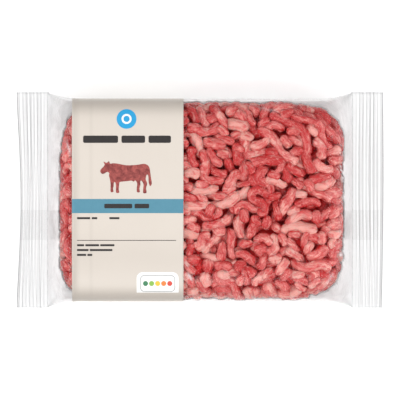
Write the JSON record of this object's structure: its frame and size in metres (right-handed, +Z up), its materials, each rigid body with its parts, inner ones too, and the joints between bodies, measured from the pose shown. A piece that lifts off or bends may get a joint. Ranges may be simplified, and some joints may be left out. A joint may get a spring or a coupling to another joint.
{
  "type": "minced beef flow pack",
  "caption": "Clear film flow pack of coarse minced beef with crimped end seals, a lapped back seam and a printed paper-coloured label band; lies flat.",
  "frame": {"origin": "middle of the pack's underside, on the surface that it lies on", "axes": "+X along the pack from the label's end to the other end seal, +Y across the pack towards the label's upper edge, +Z up through the pack"},
  "size_m": [0.184, 0.108, 0.0405],
  "materials": {
    "film": "clear glossy packaging film, white where it is crimped",
    "mince": "moist raw minced beef, red with pale fat",
    "label": "satin print in warm beige with a blue band"
  },
  "bodies": {
    "root": {"film": "film", "mince": "mince", "label": "label"}
  },
  "joints": []
}
